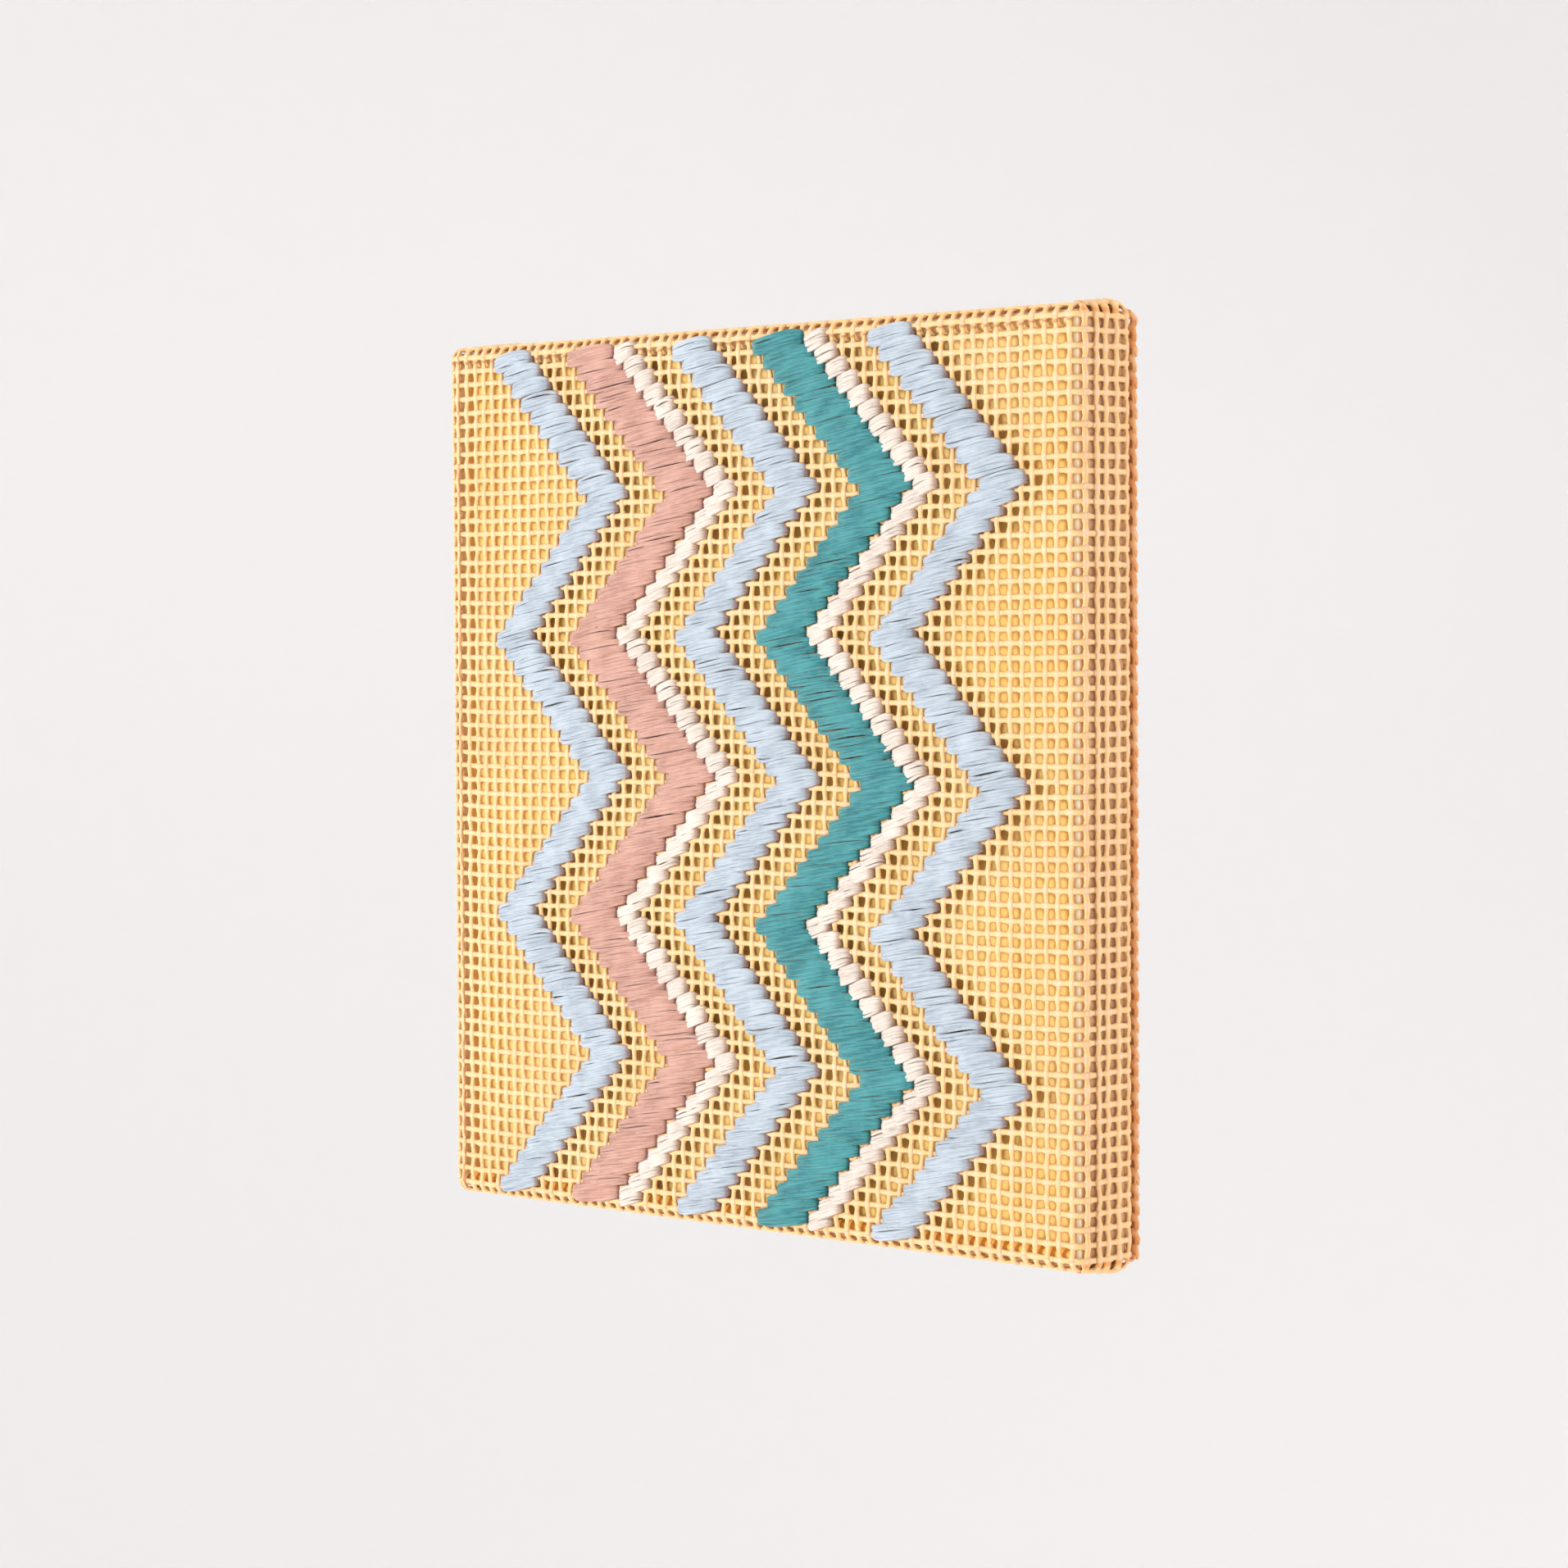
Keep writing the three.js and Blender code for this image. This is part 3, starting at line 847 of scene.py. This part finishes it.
def looseFibres(path, radius, count):
    # a fibre leaves a strand at its outer side, runs a little way along it in an arch, a sine of the way
    # along, and curls off into the air with the square of that way
    strand = random.integers(0, path.shape[0], count)
    ring = random.integers(1, path.shape[1] - 1, count)
    start = path[strand, ring]
    ahead = path[strand, ring + 1] - path[strand, ring - 1]
    ahead /= np.linalg.norm(ahead, axis=-1, keepdims=True)
    ahead *= random.choice([-1.0, 1.0], (count, 1))
    outwards = np.stack([random.normal(0, wool["fibreSideways"], count), -np.ones(count),
                         random.normal(0, wool["fibreUpwards"], count)], -1)
    outwards /= np.linalg.norm(outwards, axis=-1, keepdims=True)
    part = np.linspace(0, 1, len(wool["fibreTaper"]))[None, :, None]
    length = random.uniform(*wool["fibreLength"], (count, 1, 1))
    height = random.uniform(*wool["fibreHeight"], (count, 1, 1))
    curl = random.normal(0, wool["fibreCurl"], (count, 1, 3))
    root = start + outwards * (radius[strand, ring][:, None] * wool["fibreRoot"])
    return (root[:, None] + ahead[:, None] * length * part
            + outwards[:, None] * height * np.sin(part * wool["fibreArch"]) + curl * part * part)


def makeBand(band):
    rowNumbers = np.arange(wool["rows"])
    piece = emptyPiece()
    path, radius, length = makeStrands(band, rowNumbers)
    addTubes(piece, ringsAround(path, radius, wool["sides"]), length)
    behind = backStrands(band, rowNumbers)
    backRadius = np.full(behind.shape[:2], wool["backRadius"])
    flatRings = ringsAround(behind, backRadius, wool["backSides"], wool["backFlatness"])
    addTubes(piece, flatRings, np.arange(wool["backRings"]))
    fibres = looseFibres(path, radius, int(wool["fibresPerHole"] * wool["rows"] * band["width"]))
    thin = np.broadcast_to(wool["fibreRadius"] * np.array(wool["fibreTaper"]), fibres.shape[:2])
    addTubes(piece, ringsAround(fibres, thin, wool["fibreSides"]), np.arange(fibres.shape[1]))
    finishPiece(band["name"], piece, woolYarns[band["wool"]], [band["name"]])


studio = {
    "floor": -1.1, "radius": 3.6, "corner": 1.2, "height": 3.4,   # metres
    "middle": 0.02, "facets": 96, "cornerRings": 16,
    "colour": (249, 248, 248), "roughness": 0.9, "ambient": 0.35,
}


def makeStage():
    # floor and backdrop in one round dish: its section runs flat from the middle, turns up through a
    # quarter circle and stands straight
    angle = np.linspace(0, quarterTurn, studio["cornerRings"])
    flat = studio["radius"] - studio["corner"]
    out = np.concatenate([[studio["middle"], flat * 0.5], flat + studio["corner"] * np.sin(angle),
                          [studio["radius"]]])
    up = np.concatenate([[0, 0], studio["corner"] * (1 - np.cos(angle)), [studio["height"]]])
    around = np.linspace(0, 2 * math.pi, studio["facets"], endpoint=False)
    points = np.stack(np.broadcast_arrays(out[:, None] * np.cos(around), out[:, None] * np.sin(around),
                                          up[:, None] + studio["floor"]), -1).reshape(-1, 3)
    index = np.arange(len(points)).reshape(len(out), studio["facets"])
    quads = np.stack([index[:-1], index[1:], np.roll(index[1:], -1, 1), np.roll(index[:-1], -1, 1)], -1)
    mesh = bpy.data.meshes.new("floor")
    mesh.from_pydata(points.tolist(), [], [*quads.reshape(-1, 4).tolist(), index[0].tolist()])
    mesh.shade_smooth()
    material, shader = newMaterial("studio paper", studio["roughness"])
    shader.inputs["Base Color"].default_value = linear(studio["colour"])
    mesh.materials.append(material)
    floor = bpy.data.objects.new("floor", mesh)
    bpy.context.scene.collection.objects.link(floor)


# the key lights the board that shows through the holes, and the fill reaches only the right side
lights = [
    {"name": "key", "place": (-0.74, -1.42, 0.02), "size": 0.33, "watts": 18.5, "tint": (1, 0.99, 0.98)},
    {"name": "fill", "place": (2.75, -0.75, 0.5), "size": 2.0, "watts": 24, "tint": (1, 0.94, 0.88)},
    {"name": "back", "place": (0.4, 2.4, 0.9), "size": 2.2, "watts": 30, "tint": (1, 1, 1)},
    {"name": "top", "place": (0, 0.7, 3.0), "size": 2.0, "watts": 34, "tint": (1, 1, 1)},
]


def makeLights():
    for light in lights:
        lamp = bpy.data.lights.new(light["name"], "AREA")
        lamp.shape = "SQUARE"
        lamp.size = light["size"]
        lamp.energy = light["watts"]
        lamp.color = light["tint"]
        made = bpy.data.objects.new(light["name"], lamp)
        made.location = light["place"]
        aim = Vector(panelMiddle * mm) - Vector(light["place"])
        made.rotation_euler = aim.to_track_quat("-Z", "Y").to_euler()
        bpy.context.scene.collection.objects.link(made)
    world = bpy.data.worlds.new("room")
    world.use_nodes = True
    background = world.node_tree.nodes["Background"]
    background.inputs["Color"].default_value = (1, 1, 1, 1)
    background.inputs["Strength"].default_value = studio["ambient"]
    bpy.context.scene.world = world


cottonCloth = cottonMaterial()
woolYarns = {name: woolMaterial("wool " + name, *colours) for name, colours in woolColours.items()}
dressFrame()
print("frame and board finished")
makeFront()
makeSides()
makeTurned()
print("net made")
for band in bands:
    makeBand(band)
print("wool stitched")
makeStage()
makeLights()
